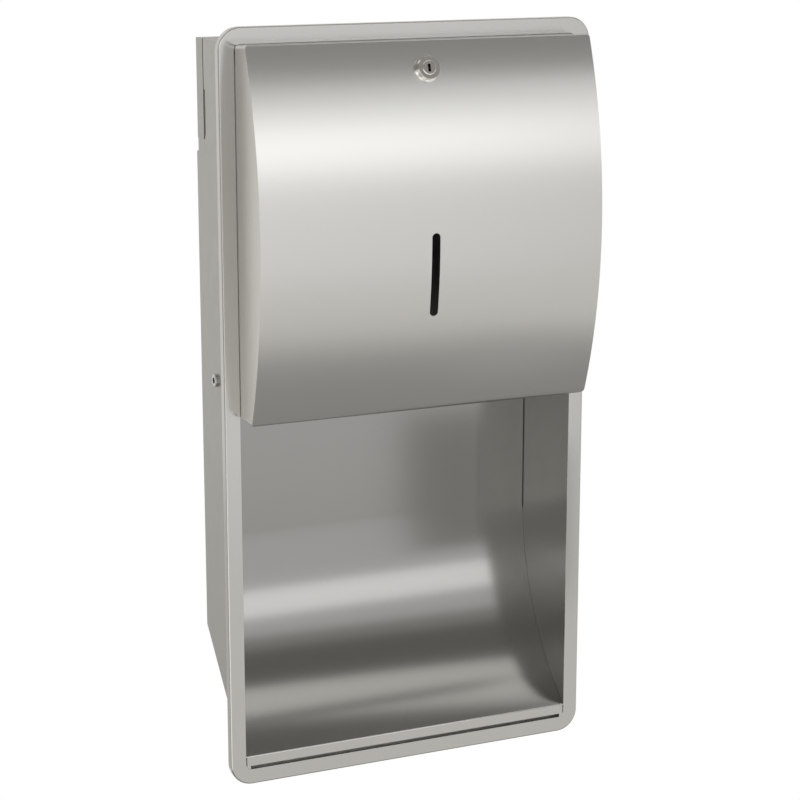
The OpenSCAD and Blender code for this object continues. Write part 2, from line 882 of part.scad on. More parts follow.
// The plug that the key turns, with a square tail for the cam
module lock_plug() {
  front = lock_proud - plug_recess;
  color(bright) at_lock() difference() {
    union() {
      translate([0, 0, -cam_shoulder]) cylinder(h = cam_shoulder + front, r = plug_r);
      translate([-tail_w / 2, -tail_w / 2, -cam_shoulder - tail_len])
        cube([tail_w, tail_w, tail_len]);
    }
    translate([-keyway_w / 2, -keyway_h / 2, front - key_deep])
      cube([keyway_w, keyway_h, key_deep + overrun]);
    translate([0, 0, front - key_ring_deep]) cylinder(h = overrun, r = key_ring_r);
    translate([0, 0, -cam_shoulder - tail_len - overrun])
      cylinder(h = cam_screw_len + cam_screw_spare + overrun, r = cam_screw_r + turn_gap);
  }
}

// The cam, lying to the left while the lock is open
module lock_cam() {
  hole = tail_w + 2 * turn_gap;
  color(bright) at_lock() translate([0, 0, -cam_shoulder - cam_sheet])
    linear_extrude(cam_sheet) difference() {
      union() {
        circle(cam_hub_r);
        translate([cam_w / 2 - cam_reach, -cam_w / 2])
          square([cam_reach - cam_w / 2, cam_w]);
        translate([cam_w / 2 - cam_reach, 0]) circle(cam_w / 2);
      }
      square(hole, center = true);
    }
}

module cam_screw() {
  seat = -cam_shoulder - tail_len;
  color(bright) at_lock() {
    translate([0, 0, seat]) cylinder(h = cam_screw_len, r = cam_screw_r);
    translate([0, 0, seat - cam_screw_head_h]) difference() {
      cylinder(h = cam_screw_head_h, r = cam_screw_head_r);
      translate([0, 0, -cam_screw_head_h / 2])
        cylinder(h = cam_screw_head_h, r = cam_screw_head_r / 2, $fn = hex_sides);
    }
  }
}

front_frame();
casing_left();
casing_right();
casing_top();
casing_back();
gutter_strip();
hanger_channel();
chute_panel();
dispensing_tray();
tray_bracket_left();
tray_bracket_right();
tray_screws();
towel_guide_left();
towel_guide_right();
guide_rivets();
lock_keeper();
keeper_rivets();
buffer_brackets();
closing_buffers();
stop_studs();
pivot_bolts();
pivot_washers();
pivot_nuts();
hood_panel();
hood_cheek_left();
hood_cheek_right();
hinge_arm_left();
hinge_arm_right();
pivot_bushes();
lock_body();
lock_washer();
lock_nut();
lock_plug();
lock_cam();
cam_screw();
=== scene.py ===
"""Looks of a recessed paper towel dispenser: folded sheets, lock, hinge screws and finishes."""

import json
import logging
import math
from collections.abc import Callable
from dataclasses import dataclass
from enum import Enum

import bmesh
import bpy
from mathutils import Matrix, Vector


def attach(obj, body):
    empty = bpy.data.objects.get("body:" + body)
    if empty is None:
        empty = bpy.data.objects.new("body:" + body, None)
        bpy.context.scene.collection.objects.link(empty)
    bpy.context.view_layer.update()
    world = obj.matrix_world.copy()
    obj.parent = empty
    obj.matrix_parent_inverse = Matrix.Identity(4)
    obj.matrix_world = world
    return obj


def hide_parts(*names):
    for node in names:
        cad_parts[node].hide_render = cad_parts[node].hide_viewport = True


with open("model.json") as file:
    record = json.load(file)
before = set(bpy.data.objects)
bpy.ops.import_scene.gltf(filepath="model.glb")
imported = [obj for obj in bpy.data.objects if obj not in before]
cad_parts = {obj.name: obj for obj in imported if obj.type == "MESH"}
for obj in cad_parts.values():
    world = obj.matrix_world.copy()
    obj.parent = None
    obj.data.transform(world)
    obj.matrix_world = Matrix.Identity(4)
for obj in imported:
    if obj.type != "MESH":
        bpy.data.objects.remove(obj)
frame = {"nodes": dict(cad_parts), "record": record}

log = logging.getLogger("dispenser")

Pair = tuple[float, float]
Triple = tuple[float, float, float]
Colour = tuple[float, float, float, float]
Test = Callable[[Vector], bool]
Socket = bpy.types.NodeSocket

MM = 0.001
NEAR = 0.01 * MM
ORIGIN = (0.0, 0.0, 0.0)
X_AXIS = (1.0, 0.0, 0.0)
Z_AXIS = (0.0, 0.0, 1.0)
FORWARD = (math.radians(90), 0.0, 0.0)
SIDEWAYS = (0.0, math.radians(90), 0.0)
CARD_COLOUR = (1.02, 1.0, 0.955, 1.0)


class Pick(Enum):
    """The kind of mesh element that a step works on."""

    POINT = "VERT"
    EDGE = "EDGE"
    FACE = "FACE"


class Coat(Enum):
    """Where a finish reads its grain from."""

    OBJECT = "Object"
    SHEET = "UV"


class Workpiece:
    """One mesh that is shaped step by step."""

    def __init__(self, name: str) -> None:
        """Takes the primitive that was just added.

        Args:
            name: the piece's name.
        """
        self.obj = bpy.context.object
        self.obj.name = name
        self.obj.data.name = name
        bpy.ops.object.transform_apply(location=True, rotation=True, scale=True)

    @classmethod
    def seed(cls, name: str, x: float, half: float, start: Pair) -> "Workpiece":
        """Starts a side view from a point, or from an edge along X.

        Args:
            name: the piece's name.
            x: the middle of the edge along X.
            half: half the edge's length, or 0 for a single point.
            start: the first place of the side view, in Y and Z.

        Returns:
            A piece in edit mode with its start selected.
        """
        fresh()
        bpy.ops.mesh.primitive_plane_add(size=2 * half or 1.0)
        piece = cls(name)
        piece.edit()
        piece.pick(Pick.POINT, lambda p: p.y > 0 or (half == 0 and p.x > 0))
        bpy.ops.mesh.delete(type="VERT")
        piece.pick(Pick.POINT, lambda p: True)
        old = piece.middle()
        bpy.ops.transform.translate(value=Vector((x, *start)) - old)
        return piece

    @classmethod
    def bar(
        cls, name: str, sides: int, radius: float, length: float, place: Triple, turn: Triple
    ) -> "Workpiece":
        """Makes a round or many-sided bar.

        Args:
            name: the piece's name.
            sides: the number of its sides.
            radius: its radius.
            length: its length.
            place: its middle.
            turn: its turn from upright, round X, Y and Z.

        Returns:
            The bar.
        """
        fresh()
        bpy.ops.mesh.primitive_cylinder_add(
            vertices=sides, radius=radius, depth=length, location=place, rotation=turn
        )
        return cls(name)

    def edit(self) -> None:
        """Opens the mesh for editing."""
        bpy.context.view_layer.objects.active = self.obj
        bpy.ops.object.mode_set(mode="EDIT")

    def close(self) -> None:
        """Leaves edit mode."""
        bpy.ops.object.mode_set(mode="OBJECT")

    def middle(self) -> Vector:
        """Gives the middle of the selected points."""
        points = [v.co for v in bmesh.from_edit_mesh(self.obj.data).verts if v.select]
        return sum(points, Vector()) / len(points)

    def pick(self, kind: Pick, test: Test) -> None:
        """Selects the elements whose middle passes a test.

        Args:
            kind: points, edges or faces.
            test: says whether an element at this place is wanted.
        """
        bpy.ops.mesh.select_mode(type=kind.value)
        bpy.ops.mesh.select_all(action="DESELECT")
        mesh = bmesh.from_edit_mesh(self.obj.data)
        if kind is Pick.POINT:
            chosen = [v for v in mesh.verts if test(v.co)]
        elif kind is Pick.EDGE:
            chosen = [e for e in mesh.edges if test((e.verts[0].co + e.verts[1].co) / 2)]
        else:
            chosen = [f for f in mesh.faces if test(f.calc_center_median())]
        for element in chosen:
            element.select_set(True)
        mesh.select_flush_mode()
        bmesh.update_edit_mesh(self.obj.data)

    def pull(self, step: Triple) -> None:
        """Extrudes the selected part straight.

        Args:
            step: how far, along X, Y and Z.
        """
        bpy.ops.mesh.extrude_region_move(TRANSFORM_OT_translate={"value": step})

    def draw(self, y: float, z: float) -> None:
        """Draws the selected end straight out to a place of the side view.

        Args:
            y: the place's Y.
            z: the place's Z.
        """
        here = self.middle()
        self.pull((0.0, y - here.y, z - here.z))

    def bend(self, centre: Pair, degrees: float, steps: int) -> None:
        """Bends the sheet on round a centre of the side view.

        Args:
            centre: the bend's centre, in Y and Z.
            degrees: how far it turns, from +Y towards +Z.
            steps: the number of facets.
        """
        bpy.ops.mesh.spin(
            steps=steps,
            angle=-math.radians(degrees),
            center=(0.0, *centre),
            axis=X_AXIS,
        )

    def stretch(self, value: Triple, centre: Triple) -> None:
        """Stretches the whole mesh about a place.

        Args:
            value: how much, along X, Y and Z.
            centre: the place that stays.
        """
        bpy.ops.mesh.select_all(action="SELECT")
        bpy.ops.transform.resize(value=value, center_override=centre)

    def swing(self, degrees: float) -> None:
        """Turns the selected points round the upright axis through the origin.

        Args:
            degrees: how far, from the front towards the right.
        """
        bpy.ops.transform.rotate(
            value=-math.radians(degrees), orient_axis="Z", center_override=ORIGIN
        )

    def cut(self, place: Triple, normal: Triple) -> None:
        """Scores the whole mesh along a plane.

        Args:
            place: a point of the plane.
            normal: the plane's normal.
        """
        bpy.ops.mesh.select_mode(type="FACE")
        bpy.ops.mesh.select_all(action="SELECT")
        bpy.ops.mesh.bisect(plane_co=place, plane_no=normal)

    def drop_faces(self, test: Test) -> None:
        """Deletes the faces whose middle passes a test.

        Args:
            test: says whether a face at this place goes.
        """
        self.pick(Pick.FACE, test)
        bpy.ops.mesh.delete(type="FACE")

    def outward(self) -> None:
        """Merges doubles and turns all faces the same way."""
        bpy.ops.mesh.select_mode(type="VERT")
        bpy.ops.mesh.select_all(action="SELECT")
        bpy.ops.mesh.remove_doubles(threshold=NEAR / 10)
        bpy.ops.mesh.normals_make_consistent(inside=False)

    def unroll(self) -> None:
        """Lays a map along a drawn sheet: X across, and the length round its folds."""
        mesh = self.obj.data
        layer = mesh.uv_layers.new(name="sheet")
        places = [v.co.copy() for v in mesh.vertices]
        run = [0.0]
        for k in range(2, len(places), 2):
            run.append(run[-1] + (places[k] - places[k - 2]).length)
        for loop in mesh.loops:
            k = loop.vertex_index
            layer.data[loop.index].uv = (places[k].x, run[k // 2])

    def apply(self, kind: str, **settings: object) -> None:
        """Adds one modifier with its settings and applies it.

        Args:
            kind: the modifier's type.
            **settings: its properties.
        """
        modifier = self.obj.modifiers.new(name=kind.lower(), type=kind)
        for key, value in settings.items():
            setattr(modifier, key, value)
        bpy.context.view_layer.objects.active = self.obj
        bpy.ops.object.modifier_apply(modifier=modifier.name)

    def thicken(self, thickness: float, offset: float) -> None:
        """Gives the sheet its thickness.

        Args:
            thickness: the sheet's thickness.
            offset: -1 to grow behind the faces, 1 to grow before them.
        """
        self.apply("SOLIDIFY", thickness=thickness, offset=offset, use_even_offset=True)

    def soften(self, width: float, segments: int = 2, angle: float = 40.0) -> None:
        """Breaks the sharp edges.

        Args:
            width: the width of the rounding.
            segments: the number of its facets.
            angle: the least angle between faces that counts as sharp, in degrees.
        """
        self.apply(
            "BEVEL",
            width=width,
            segments=segments,
            limit_method="ANGLE",
            angle_limit=math.radians(angle),
        )

    def smooth(self, angle: float = 35.0) -> None:
        """Shades the mesh smooth but for its sharp edges.

        Args:
            angle: the least angle that stays sharp, in degrees.
        """
        fresh()
        self.obj.select_set(True)
        bpy.context.view_layer.objects.active = self.obj
        bpy.ops.object.shade_smooth_by_angle(angle=math.radians(angle))
        self.apply("WEIGHTED_NORMAL", weight=90, keep_sharp=True)

    def take(self, tool: "Workpiece", operation: str) -> None:
        """Cuts with or joins another piece, which is used up.

        Args:
            tool: the other piece.
            operation: DIFFERENCE or UNION.
        """
        self.apply("BOOLEAN", object=tool.obj, operation=operation, solver="EXACT")
        bpy.data.objects.remove(tool.obj)

    def seat(self, place: Matrix) -> None:
        """Moves the piece from the origin to its place.

        Args:
            place: the matrix that moves it.
        """
        fresh()
        self.obj.matrix_world = place
        self.obj.select_set(True)
        bpy.context.view_layer.objects.active = self.obj
        bpy.ops.object.transform_apply(location=True, rotation=True, scale=True)

    def dress(self, finish: bpy.types.Material, body: str, slot: str, *nodes: str) -> None:
        """Gives the piece its finish and body, and hides the nodes that it stands for.

        Args:
            finish: the material.
            body: the body that it rides on.
            slot: the record's material slot; not used.
            *nodes: the nodes that it replaces.
        """
        self.obj.data.materials.clear()
        self.obj.data.materials.append(finish)
        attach(self.obj, body)
        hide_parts(*nodes)
        log.info("%s: %d faces", self.obj.name, len(self.obj.data.polygons))


def fresh() -> None:
    """Leaves edit mode and selects nothing."""
    if bpy.context.object and bpy.context.object.mode != "OBJECT":
        bpy.ops.object.mode_set(mode="OBJECT")
    bpy.ops.object.select_all(action="DESELECT")


@dataclass(frozen=True)
class Finish:
    """What every finish has. A pattern tints its colour and dents its surface."""

    name: str
    colour: Triple
    roughness: float
    tint: float = 0.05
    relief: float = 0.05
    dent: float = 0.05 * MM

    def start(self) -> bpy.types.Material:
        """Adds the material with a plain shader.

        Returns:
            The new material.
        """
        material = bpy.data.materials.new(self.name)
        material.use_nodes = True
        return material

    def mark(self, tree: bpy.types.NodeTree, tone: Socket, height: Socket) -> None:
        """Tints the colour and dents the surface.

        Args:
            tree: the material's node tree.
            tone: the pattern of the colour.
            height: the pattern of the surface.
        """
        shader = tree.nodes["Principled BSDF"]
        mix = tree.nodes.new("ShaderNodeMix")
        mix.data_type = "RGBA"
        mix.inputs["A"].default_value = (*(c * (1 - self.tint) for c in self.colour), 1.0)
        mix.inputs["B"].default_value = (*(c * (1 + self.tint) for c in self.colour), 1.0)
        bump = tree.nodes.new("ShaderNodeBump")
        bump.inputs["Strength"].default_value = self.relief
        bump.inputs["Distance"].default_value = self.dent
        tree.links.new(tone, mix.inputs["Factor"])
        tree.links.new(mix.outputs["Result"], shader.inputs["Base Color"])
        tree.links.new(height, bump.inputs["Height"])
        tree.links.new(bump.outputs["Normal"], shader.inputs["Normal"])


@dataclass(frozen=True)
class Steel(Finish):
    """A brushed or rolled sheet metal with fine grain along one way.

    The grain is in lines per metre along the coat's three ways, and the spread is how far it
    moves the roughness.
    """

    spread: float = 0.06
    coat: Coat = Coat.OBJECT
    grain: Triple = (900.0, 900.0, 16.0)
    across: float = 0.0
    grain_detail: float = 3.0
    clouds: Triple = (9.0, 9.0, 9.0)
    cloud_detail: float = 4.0
    cloud_share: float = 0.3
    contrast: Pair = (0.3, 0.7)

    def make(self) -> bpy.types.Material:
        """Builds the material.

        Returns:
            The new material.
        """
        material = self.start()
        nodes = material.node_tree.nodes
        link = material.node_tree.links.new
        shader = nodes["Principled BSDF"]
        shader.inputs["Metallic"].default_value = 1.0
        shader.inputs["Anisotropic"].default_value = self.across
        place = nodes.new("ShaderNodeTexCoord").outputs[self.coat.value]

        def noise(scale: Triple, detail: float) -> Socket:
            """Adds stretched noise and gives its factor."""
            turn = nodes.new("ShaderNodeMapping")
            turn.inputs["Scale"].default_value = scale
            pattern = nodes.new("ShaderNodeTexNoise")
            pattern.inputs["Scale"].default_value = 1.0
            pattern.inputs["Detail"].default_value = detail
            link(place, turn.inputs["Vector"])
            link(turn.outputs["Vector"], pattern.inputs["Vector"])
            return pattern.outputs["Fac"]

        def spread(factor: Socket, low: float, high: float) -> Socket:
            """Maps a factor between two values."""
            ramp = nodes.new("ShaderNodeMapRange")
            ramp.inputs["From Min"].default_value = self.contrast[0]
            ramp.inputs["From Max"].default_value = self.contrast[1]
            ramp.inputs["To Min"].default_value = low
            ramp.inputs["To Max"].default_value = high
            link(factor, ramp.inputs["Value"])
            return ramp.outputs["Result"]

        lines = noise(self.grain, self.grain_detail)
        clouds = noise(self.clouds, self.cloud_detail)
        link(
            spread(lines, self.roughness - self.spread, self.roughness + self.spread),
            shader.inputs["Roughness"],
        )
        both = nodes.new("ShaderNodeMath")
        both.operation = "ADD"
        link(spread(lines, 0.0, 1.0 - self.cloud_share), both.inputs[0])
        link(spread(clouds, 0.0, self.cloud_share), both.inputs[1])
        self.mark(material.node_tree, both.outputs["Value"], lines)
        if self.across:
            along = nodes.new("ShaderNodeTangent")
            along.direction_type = "UV_MAP"
            along.uv_map = "sheet"
            link(along.outputs["Tangent"], shader.inputs["Tangent"])
        return material


@dataclass(frozen=True)
class Moulded(Finish):
    """A rubber or plastic with a faint cloudy surface."""

    tint: float = 0.1
    relief: float = 0.15
    grain: float = 420.0

    def make(self) -> bpy.types.Material:
        """Builds the material.

        Returns:
            The new material.
        """
        material = self.start()
        tree = material.node_tree
        tree.nodes["Principled BSDF"].inputs["Roughness"].default_value = self.roughness
        pattern = tree.nodes.new("ShaderNodeTexNoise")
        pattern.inputs["Scale"].default_value = self.grain
        place = tree.nodes.new("ShaderNodeTexCoord")
        tree.links.new(place.outputs["Object"], pattern.inputs["Vector"])
        self.mark(tree, pattern.outputs["Fac"], pattern.outputs["Fac"])
        return material


class Finishes:
    """Every finish of the dispenser."""

    def __init__(self) -> None:
        """Builds the materials and lists them under the record's slots."""
        self.hood = Steel(
            "hood_steel", (0.595, 0.59, 0.575), 0.26, coat=Coat.SHEET,
            grain=(560.0, 14.0, 1.0), relief=0.07, across=0.2,
        ).make()
        self.cheek = Steel("cheek_steel", (0.66, 0.65, 0.63), 0.36).make()
        self.frame = Steel(
            "frame_steel", (0.53, 0.525, 0.51), 0.18, spread=0.02, grain=(900.0, 900.0, 900.0),
            relief=0.0015, tint=0.012,
        ).make()
        # Darker than the frame's steel on the same sheet's lip: painted shade of the deep niche.
        self.niche = Steel(
            "niche_steel", (0.312, 0.309, 0.3), 0.17, coat=Coat.SHEET,
            grain=(420.0, 300.0, 1.0), relief=0.05, across=0.2,
        ).make()
        self.casing = Steel(
            "casing_steel", (0.475, 0.47, 0.456), 0.45, grain=(300.0, 300.0, 80.0)
        ).make()
        self.channel = Steel(
            "channel_steel", (0.4, 0.396, 0.384), 0.36, grain=(300.0, 80.0, 300.0)
        ).make()
        self.zinc = Steel(
            "zinc_steel", (0.55, 0.57, 0.58), 0.42, grain=(160.0, 160.0, 160.0), tint=0.1
        ).make()
        self.chrome = Steel(
            "lock_chrome", (0.72, 0.705, 0.675), 0.10, spread=0.02,
            grain=(1400.0, 1400.0, 1400.0), relief=0.005, tint=0.02,
        ).make()
        self.fastener = Steel(
            "fastener_steel", (0.55, 0.55, 0.54), 0.26, grain=(700.0, 700.0, 700.0)
        ).make()
        self.slots = {
            "satin_steel": self.cheek,
            "casing_steel": self.casing,
            "niche_steel": self.casing,
            "zinc_steel": self.zinc,
            "lock_chrome": self.chrome,
            "fastener_steel": self.fastener,
            "buffer_rubber": Moulded("buffer_rubber", (0.03, 0.03, 0.03), 0.75).make(),
            "bush_nylon": Moulded("bush_nylon", (0.8, 0.79, 0.74), 0.45).make(),
        }

    def dress_nodes(self) -> None:
        """Puts each node's finish on it, by the slot that the record gives it."""
        for part in frame["record"]["subparts"]:
            node = frame["nodes"][part["node"]]
            for place in node.material_slots:
                place.material = self.slots[part["material_slot"]]
        for place in frame["nodes"]["hanger_channel"].material_slots:
            place.material = self.channel
        log.info("%d nodes dressed", len(frame["nodes"]))


@dataclass
class FrontFrame:
    """The pressed frame: a flat border, a round fold and a return to the wall."""

    width: float = 350 * MM
    height: float = 675 * MM
    border: float = 14.15 * MM
    corner: float = 20 * MM
    depth: float = 8 * MM
    sheet: float = 1.2 * MM
    fold: float = 1.3 * MM
    edge: float = 0.15 * MM
    corner_steps: int = 14
    fold_steps: int = 6

    def build(self, finishes: Finishes) -> None:
        """Shapes the frame and dresses it.

        Args:
            finishes: the dispenser's finishes.
        """
        fresh()
        bpy.ops.mesh.primitive_plane_add(size=1.0, rotation=FORWARD)
        piece = Workpiece("front_frame_sheet")
        piece.edit()
        piece.stretch((self.width, 1.0, self.height), ORIGIN)
        bpy.ops.mesh.bevel(offset=self.corner, segments=self.corner_steps, affect="VERTICES")
        piece.pick(Pick.FACE, lambda p: True)
        piece.pull((0.0, -self.depth, 0.0))
        front = -self.depth
        piece.pick(Pick.EDGE, lambda p: abs(p.y - front) < NEAR)
        bpy.ops.mesh.bevel(offset=self.fold, segments=self.fold_steps, affect="EDGES")
        piece.pick(Pick.FACE, lambda p: p.length < 2 * self.depth)
        bpy.ops.mesh.inset(thickness=self.border - self.fold, use_even_offset=True)
        bpy.ops.mesh.delete(type="FACE")
        piece.outward()
        piece.close()
        piece.thicken(self.sheet, -1.0)
        piece.soften(self.edge, segments=3)
        piece.smooth()
        piece.dress(finishes.frame, "housing", "satin_steel", "front_frame")


@dataclass
class Niche:
    """The collecting niche's sheet: upright back, curve and lip."""

    chute_y: float = 83 * MM
    sheet: float = 1.0 * MM
    flange_y: float = 87.8 * MM
    top_z: float = 4.7 * MM
    curve_z: float = -130 * MM
    curve_r: float = 225.5 * MM
    half: float = 160.95 * MM
    upright_half: float = 160.4 * MM
    relief_z: float = -139 * MM
    lip_half: float = 159.9 * MM
    lip_y: float = -8 * MM
    lip_r: float = 1.4 * MM
    lip_low_z: float = -320.1 * MM
    leg: float = 3.5 * MM
    leg_low_z: float = -323.5 * MM
    leg_round_share: float = 0.85
    edge: float = 0.2 * MM
    curve_steps: int = 60
    lip_steps: int = 6

    def build(self, finishes: Finishes) -> None:
        """Bends the sheet, cuts its edges and dresses it: darker niche steel inside, painted shade
        of the recess, and the frame's steel on its lip.

        Args:
            finishes: the dispenser's finishes.
        """
        centre_y = self.chute_y - self.curve_r
        fold_y = self.lip_y + self.lip_r
        swing = math.degrees(math.acos((fold_y - centre_y) / (self.curve_r + self.lip_r)))
        fold_z = self.curve_z - (self.curve_r + self.lip_r) * math.sin(math.radians(swing))
        piece = Workpiece.seed(
            "niche_sheet", 0.0, self.half, (self.flange_y, self.top_z - self.sheet)
        )
        piece.draw(self.chute_y, self.top_z - self.sheet)
        piece.draw(self.chute_y, self.curve_z)
        piece.bend((centre_y, self.curve_z), -swing, self.curve_steps)
        piece.bend((fold_y, fold_z), swing, self.lip_steps)
        piece.draw(self.lip_y, self.lip_low_z)
        piece.close()
        piece.unroll()
        piece.edit()
        for half in (self.upright_half, self.lip_half, self.lip_half - self.leg):
            for side in (-1.0, 1.0):
                piece.cut((side * half, 0.0, 0.0), X_AXIS)
        piece.cut((0.0, 0.0, self.relief_z), Z_AXIS)
        piece.drop_faces(lambda p: abs(p.x) > self.upright_half and p.z > self.relief_z)
        piece.drop_faces(lambda p: abs(p.x) > self.lip_half and p.z < fold_z)
        piece.pick(
            Pick.EDGE,
            lambda p: abs(p.z - self.lip_low_z) < NEAR
            and abs(p.x) > self.lip_half - self.leg,
        )
        piece.pull((0.0, 0.0, self.leg_low_z - self.lip_low_z))
        piece.pick(
            Pick.POINT,
            lambda p: p.z < self.leg_low_z + NEAR and abs(p.x) > self.lip_half - NEAR,
        )
        bpy.ops.mesh.bevel(offset=self.leg_round_share * self.leg, segments=5, affect="VERTICES")
        piece.close()
        piece.thicken(self.sheet, self.away(piece))
        piece.soften(self.edge)
        piece.smooth()
        piece.dress(finishes.niche, "housing", "niche_steel", "chute_panel")
        # Faces before the lip's fold keep the frame's lighter steel; the rest carries the niche's
        # painted shade.
        piece.obj.data.materials.append(finishes.frame)
        for face in piece.obj.data.polygons:
            if face.center.y < self.lip_y + self.lip_r:
                face.material_index = 1

    def away(self, piece: Workpiece) -> float:
        """Tells which way the sheet's thickness goes, behind the niche.

        Args:
            piece: the sheet before it has its thickness.

        Returns:
            The offset for a wall that grows away from the room.
        """
        upright = max(piece.obj.data.polygons, key=lambda f: f.area)
        return -1.0 if upright.normal.y < 0 else 1.0


@dataclass
class Hood:
    """The bulging hood: front sheet, and two flat cheeks inside its edges."""

    half: float = 160.6 * MM
    sheet: float = 1.2 * MM
    top_z: float = 322.5 * MM
    rise: float = 2 * MM
    corner: float = 3.48 * MM
    hem_corner: float = 4.5 * MM
    low_z: float = 0.5 * MM
    rear_y: float = -8.5 * MM
    bulge_r: float = 464 * MM
    bulge_y: float = 400 * MM
    bulge_z: float = 159 * MM
    top_fold: float = 1.8 * MM
    hem_fold: float = 8 * MM
    hem_y: float = -26 * MM
    return_z: float = 306.5 * MM
    notch_half: float = 26 * MM
    cheek_low_z: float = 4 * MM
    tail_y: float = 4 * MM
    tail_top_z: float = 315.5 * MM
    slot_z: float = 126 * MM
    slot_w: float = 7.8 * MM
    slot_x: float = -0.5 * MM
    slot_h: float = 73 * MM
    lock_y: float = -42.06 * MM
    lock_z: float = 300 * MM
    lock_hole_r: float = 9.1 * MM
    hem_steps: int = 10
    top_steps: int = 8
    front_steps: int = 72
    cheek_steps: int = 48
    slot_cut: float = 60 * MM
    slot_sides: int = 32
    lock_cut: float = 12 * MM
    lock_sides: int = 48
    corner_cut: float = 150 * MM
    corner_sides: int = 96
    corner_stretch: float = 16.0
    edge: float = 0.2 * MM
    cheek_edge: float = 0.15 * MM

    def fold_centre(self, z: float, radius: float) -> Pair:
        """Places the centre of a fold that runs smoothly into the bulge.

        Args:
            z: the centre's height.
            radius: the fold's outer radius.

        Returns:
            The centre, in Y and Z.
        """
        reach = self.bulge_r - radius
        return self.bulge_y - math.sqrt(reach**2 - (z - self.bulge_z) ** 2), z

    def top_centre(self) -> Pair:
        """Places the centre of the upper fold."""
        return self.fold_centre(self.top_z + self.rise - self.top_fold, self.top_fold)

    def top_slope(self) -> float:
        """Gives the slope at which the top rises to the upper fold, in degrees."""
        y, z = self.top_centre()
        run = Vector((self.rear_y - y, self.top_z - z))
        touch = math.atan2(run.y, run.x) + math.acos(self.top_fold / run.length)
        return 90 - math.degrees(touch)

    def side_view(self, piece: Workpiece, inset: float, steps: int) -> None:
        """Draws the hem's fold, the bulge and the upper fold, up to the top.

        Args:
            piece: the piece, with its lower end selected.
            inset: how far inside the outer face the line runs.
            steps: the number of facets of the bulge.
        """
        low = self.fold_centre(self.low_z + self.hem_fold, self.hem_fold)
        top = self.top_centre()
        dip = math.degrees(math.asin((self.bulge_z - low[1]) / (self.bulge_r - self.hem_fold)))
        rise = math.degrees(math.asin((top[1] - self.bulge_z) / (self.bulge_r - self.top_fold)))
        piece.draw(low[0], self.low_z + inset)
        piece.bend(low, dip - 90, self.hem_steps)
        piece.bend((self.bulge_y, self.bulge_z), -dip - rise, steps)
        piece.bend(top, rise - 90 - self.top_slope(), self.top_steps)

    def build(self, finishes: Finishes) -> None:
        """Builds the front sheet and both cheeks.

        Args:
            finishes: the dispenser's finishes.
        """
        self.front(finishes)
        for side, name in ((-1.0, "left"), (1.0, "right")):
            self.cheek(finishes, side, name)

    def front(self, finishes: Finishes) -> None:
        """Bends the front sheet, cuts its openings and round corners, and dresses it.

        Args:
            finishes: the dispenser's finishes.
        """
        piece = Workpiece.seed("hood_front", 0.0, self.half, (self.hem_y, self.low_z))
        self.side_view(piece, 0.0, self.front_steps)
        piece.draw(self.rear_y, self.top_z)
        piece.draw(self.rear_y, self.return_z)
        piece.close()
        piece.unroll()
        piece.edit()
        for side in (-1.0, 1.0):
            piece.cut((side * self.notch_half, 0.0, 0.0), X_AXIS)
        piece.drop_faces(
            lambda p: abs(p.x) < self.notch_half and p.y > self.rear_y - NEAR
            and p.z < self.top_z - self.sheet
        )
        piece.close()
        bulge = max(piece.obj.data.polygons, key=lambda f: -f.center.y)
        piece.thicken(self.sheet, -1.0 if bulge.normal.y < 0 else 1.0)
        piece.take(self.slot_cutter(), "DIFFERENCE")
        piece.take(self.lock_cutter(), "DIFFERENCE")
        for side in (-1.0, 1.0):
            piece.take(self.top_cutter(side), "DIFFERENCE")
            piece.take(self.hem_cutter(side), "DIFFERENCE")
        piece.soften(self.edge)
        piece.smooth()
        piece.dress(finishes.hood, "hood", "satin_steel", "hood_panel")

    def slot_cutter(self) -> Workpiece:
        """Makes the bar with round ends that opens the level slot.

        Returns:
            The cutter.
        """
        place = (self.slot_x, self.bulge_y - self.bulge_r, self.slot_z)
        cutter = Workpiece.bar(
            "slot_cutter", self.slot_sides, self.slot_w / 2, self.slot_cut, place, FORWARD
        )
        cutter.edit()
        reach = (self.slot_h - self.slot_w) / 2
        for side in (-1.0, 1.0):
            cutter.pick(Pick.POINT, lambda p: side * (p.z - self.slot_z) > NEAR)
            bpy.ops.transform.translate(value=(0.0, 0.0, side * reach))
        cutter.close()
        return cutter

    def lock_cutter(self) -> Workpiece:
        """Makes the round bar that opens the lock's hole.

        Returns:
            The cutter.
        """
        tilt = math.asin((self.lock_z - self.bulge_z) / self.bulge_r)
        place = (0.0, self.lock_y, self.lock_z)
        turn = (math.radians(90) - tilt, 0.0, 0.0)
        return Workpiece.bar(
            "lock_cutter", self.lock_sides, self.lock_hole_r, self.lock_cut, place, turn
        )

    def top_cutter(self, side: float) -> Workpiece:
        """Makes the bar that rounds the top's corner with a cheek.

        Args:
            side: -1 for the left corner, 1 for the right one.

        Returns:
            The cutter.
        """
        seat = Matrix.Translation((0.0, self.rear_y, self.top_z)) @ Matrix.Rotation(
            -math.radians(self.top_slope()), 4, "X"
        )
        return self.corner_cutter(side, self.corner, seat)

    def hem_cutter(self, side: float) -> Workpiece:
        """Makes the bar that rounds an end of the hem.

        Args:
            side: -1 for the left end, 1 for the right one.

        Returns:
            The cutter.
        """
        seat = Matrix.Translation((0.0, self.rear_y, self.low_z)) @ Matrix.Rotation(
            math.radians(180), 4, "Y"
        )
        return self.corner_cutter(-side, self.hem_corner, seat)

